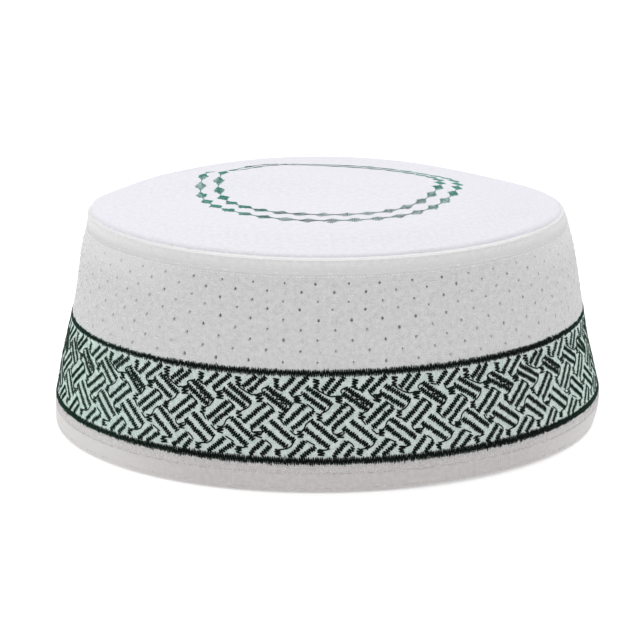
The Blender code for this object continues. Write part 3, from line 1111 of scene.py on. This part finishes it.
def woven_cotton(name, light, dark, roughness, thread_mm, deep_mm, ends=None, band=None, foot=None, top=None):
    """Plain-woven cotton, starched: fine crossing threads, soft mottling, a little sheen from loose fibres.

    Real threads lie 0.3 mm apart, too fine to show, so they are drawn about three times as coarse. Some cloth
    has other tones: painted light towards the cap's ends, also on its top, darker towards its foot, and a
    painted highlight along the front of its rolled line. The band's colours are for the cloth under the
    embroidery, tinted by a painted green reflection of its thread: along the front, stronger towards the
    cap's ends, and between the threads.
    """
    made, tree, shader = new_material(name, roughness, 0.15, "FFFFFF")
    where = add(tree, "ShaderNodeUVMap", uv_map="cloth").outputs[0]
    weave = []
    for direction in ("X", "Y"):
        threads = add(tree, "ShaderNodeTexWave", {
            "Vector": where, "Scale": WAVE_SCALE / (thread_mm * MM), "Distortion": 0.6, "Detail": 1.0,
            "Detail Scale": 0.3,
        }, bands_direction=direction)
        weave.append(threads.outputs["Fac"])
    woven = add(tree, "ShaderNodeMath", {0: weave[0], 1: weave[1]}, operation="ADD")
    slub = add(tree, "ShaderNodeTexNoise", {"Vector": where, "Scale": 1 / (SLUB_MM * MM), "Detail": 3.0})
    height = add(tree, "ShaderNodeMath", {0: woven.outputs[0], 1: slub.outputs["Fac"]}, operation="ADD")
    bump = add(tree, "ShaderNodeBump", {
        "Height": height.outputs[0], "Distance": deep_mm * MM, "Strength": 0.7,
    })
    mottle = add(tree, "ShaderNodeTexNoise", {
        "Vector": where, "Scale": 1 / (MOTTLE_MM * MM), "Detail": 4.0, "Roughness": 0.6,
    })
    tone = mixed(tree, ramp(tree, mottle.outputs["Fac"], 0.3, 0.7), linear(dark), linear(light))
    up = add(tree, "ShaderNodeSeparateXYZ", {"Vector": where}).outputs["Y"]
    # Lighter towards the cap's ends: painted light, where more light falls on them
    if ends:
        tone = mixed(tree, towards_the_ends(tree, 50, 95), tone, linear(ends))
    if foot:
        tone = mixed(tree, ramp(tree, up, *FOOT_ENDS), linear(foot), tone)
        # The rolled line is lightest along the front, a painted highlight, and greyer towards the ends
        roll = mixed(tree, towards_the_ends(tree, 45, 90), linear("F7F7F7"), linear("E9E9E9"))
        tone = mixed(tree, ramp(tree, up, *ROLL_BEGINS), tone, roll)
    # The wall's top is lighter towards the cap's ends: painted light
    if top:
        upper = times(tree, ramp(tree, up, *TOP_BEGINS), towards_the_ends(tree, 45, 85))
        tone = mixed(tree, upper, tone, linear(top))
    # The band's green tints are painted reflection of the embroidery thread on the cloth, stronger towards
    # the cap's ends
    if band:
        inside = times(tree, ramp(tree, up, *BAND_BEGINS), ramp(tree, up, *BAND_ENDS))
        ground = mixed(tree, towards_the_ends(tree), linear(band[0]), linear(band[1]))
        crossing = add(tree, "ShaderNodeMath", {
            0: woven.outputs[0], 1: 0.08, 2: mottle.outputs["Fac"],
        }, operation="MULTIPLY_ADD")
        shaded = mixed(tree, ramp(tree, crossing.outputs[0], 0.40, 0.75), linear(band[2]), ground)
        tone = mixed(tree, inside, tone, shaded)
    tree.links.new(tone, shader.inputs["Base Color"])
    tree.links.new(bump.outputs[0], shader.inputs["Normal"])
    return made


def sewing_thread(name, light, dark, roughness, sheen, sheen_colour, specular, ends=None,
                  ends_mm=ENDS_PAINTED_FROM_TO):
    """Twisted sewing thread: two plies that run slanting round it, each stitch of a tone of its own."""
    made, tree, shader = new_material(name, roughness, sheen, sheen_colour, 0.35, specular)
    where = add(tree, "ShaderNodeUVMap", uv_map="cloth").outputs[0]
    ply = add(tree, "ShaderNodeTexWave", {
        "Vector": where, "Scale": WAVE_SCALE / (PLY_MM * MM), "Distortion": 0.3,
    }, bands_direction="DIAGONAL")
    mottle = add(tree, "ShaderNodeTexNoise", {"Vector": where, "Scale": 1 / (TONE_MM * MM)})
    tone = mixed(tree, ramp(tree, mottle.outputs["Fac"], 0.35, 0.65), linear(dark), linear(light))
    # Towards the cap's ends the tone turns to the ends colour: painted sheen and highlights
    if ends:
        tone = mixed(tree, times(tree, towards_the_ends(tree, *ends_mm), ENDS_PAINTED_MOST), tone, linear(ends))
    bump = add(tree, "ShaderNodeBump", {
        "Height": ply.outputs["Fac"], "Distance": 0.05 * MM, "Strength": 0.6,
    })
    tree.links.new(tone, shader.inputs["Base Color"])
    tree.links.new(bump.outputs[0], shader.inputs["Normal"])
    return made


# Stage

CAMERA_AT = (-0.11632, -0.75774, 0.26989)
CAMERA_LOOKS = (0.14096, 0.94548, -0.29361)
CAMERA_ROLL = 0.003
LENS_MM = 121.85
FILM_MM = 36

FLOOR_SIZE = 12
FLOOR_DROP = 0.0002
FLOOR_GLOW = 0.31

SUN_STRENGTH = 2.05
SUN_WIDE_DEG = 100
SUN_TILT_DEG = (-14, -3, 0)
SURROUND = 0.42


def make_camera():
    """The photo's own view: a long lens a little above the crown, turned slightly to the cap's left."""
    data = bpy.data.cameras.new("camera")
    data.lens, data.sensor_width = LENS_MM, FILM_MM
    data.clip_start, data.clip_end = 0.05, 20
    camera = bpy.data.objects.new("camera", data)
    bpy.context.scene.collection.objects.link(camera)
    aim = Vector(CAMERA_LOOKS).to_track_quat("-Z", "Y").to_matrix().to_4x4()
    camera.matrix_world = Matrix.Translation(CAMERA_AT) @ aim @ Matrix.Rotation(CAMERA_ROLL, 4, "Z")
    bpy.context.scene.camera = camera


def make_floor():
    """A white light table."""
    deselect()
    bpy.ops.mesh.primitive_plane_add(size=FLOOR_SIZE, location=(0, 0, -FLOOR_DROP))
    floor = bpy.context.active_object
    floor.name = "floor"
    made, tree, shader = new_material("Lit white table", 0.9, 0, "FFFFFF", specular=0)
    shader.inputs["Base Color"].default_value = linear("F4F4F4")
    shader.inputs["Emission Color"].default_value = linear("FFFFFF")
    shader.inputs["Emission Strength"].default_value = FLOOR_GLOW
    floor.data.materials.append(made)


def make_light():
    """A big soft light overhead and a dim white surround."""
    data = bpy.data.lights.new("overhead", "SUN")
    data.energy, data.angle = SUN_STRENGTH, radians(SUN_WIDE_DEG)
    lamp = bpy.data.objects.new("overhead", data)
    lamp.rotation_euler = [radians(degrees) for degrees in SUN_TILT_DEG]
    bpy.context.scene.collection.objects.link(lamp)
    world = bpy.data.worlds.new("surround")
    world.use_nodes = True
    world.node_tree.nodes["Background"].inputs["Color"].default_value = linear("FFFFFF")
    world.node_tree.nodes["Background"].inputs["Strength"].default_value = SURROUND
    bpy.context.scene.world = world
    bpy.context.scene.view_settings.view_transform = "Standard"


make_camera()
make_floor()
make_light()

STITCH_POINTS, STITCH_FACES = make_stitch()

# Bleached and starched cotton: matt and nearly white, lightest on the crown; the hem's greyer tone is painted
# shade, where less light reaches it
crown_cotton = woven_cotton("Quilted white cotton", "F0EFF6", "E9E8F0", 0.8, 1.0, 0.04)
# Lighter towards the cap's ends: painted light
edge_cotton = woven_cotton("Turned white cotton", "EBEAEB", "E1E0E1", 0.85, 0.9, 0.06,
                           ends="EFEEEF", foot="DBDADB")
# Its top is lighter towards the ends, painted light; the band's green tints are painted reflection from the
# embroidery thread
side_cotton = woven_cotton("Starched white cotton", "DFDEDF", "D2D1D2", 0.85, 0.9, 0.06,
                           band=("DFE8E5", "D3F0E5", "BFCFCA"), top="E5E4E5")
# The hem's grey is painted shade; it is lighter towards the cap's ends, painted light
hem_cotton = woven_cotton("Folded white cotton", "D6D2D2", "CBC7C7", 0.85, 0.9, 0.06, ends="E2E0DF")

# Spun cotton thread: soft and matt, in the cloth's own tone; the overcast thread is darker and yellower,
# painted shade of the gaps between its stitches
crown_thread = sewing_thread("White cotton thread", "F1F0F7", "E8E7EF", 0.7, 0.1, "FFFFFF", 0.3)
plain_thread = sewing_thread("Overcast thread with painted shade", "E3E0D4", "CCC7B9", 0.7, 0.1, "FFFFFF", 0.3)
hem_thread = sewing_thread("White hem thread", "EAE7E7", "C6C2C2", 0.6, 0.1, "FFFFFF", 0.3)

# White rayon thread: smooth, with small bright points where a stitch turns
white_thread = sewing_thread("White rayon thread", "FFFFFF", "F4F4F6", 0.35, 0.3, "FFFFFF", 0.8)
# Pure white towards the cap's ends: painted highlights, the glints of its stitches there
side_thread = sewing_thread("White side thread", "EAE9EA", "DCDBDC", 0.4, 0.3, "FFFFFF", 0.6,
                            ends="FFFFFF", ends_mm=(35, 85))

# Dyed rayon thread: nearly black in front, with a green sheen where it is seen aslant; its greener tone
# towards the cap's ends is painted sheen
green_thread = sewing_thread("Dark green rayon thread", "081711", "030705", 0.5, 0.12, "2E9A6B", 0.12,
                             ends="0A3325", ends_mm=(60, 100))
# The teal's lighter tone towards the cap's ends is painted sheen, where its stitches catch the light aslant
teal_thread = sewing_thread("Teal rayon thread", "4C8A80", "072422", 0.45, 0.15, "8FC9BC", 0.25,
                            ends="55A592", ends_mm=(18, 44))

make_hem_cloth(hem_cotton)
make_side_cloth(side_cotton)
make_edge_band(edge_cotton)
make_crown_cloth(crown_cotton)
make_satin_border("lower_satin", *LOWER_BORDER, "lower_border", green_thread)
make_satin_border("upper_satin", *UPPER_BORDER, "upper_border", green_thread)
make_strokes("strokes_right", RIGHT_LEANING, green_thread)
make_strokes("strokes_left", LEFT_LEANING, green_thread)
make_knots(green_thread)
make_diamonds(teal_thread)
make_crown_stitches(crown_thread)
make_edge_stitches(white_thread)
make_seam_overcast(plain_thread)
make_side_stitches(side_thread)
make_hem_stitches(hem_thread)
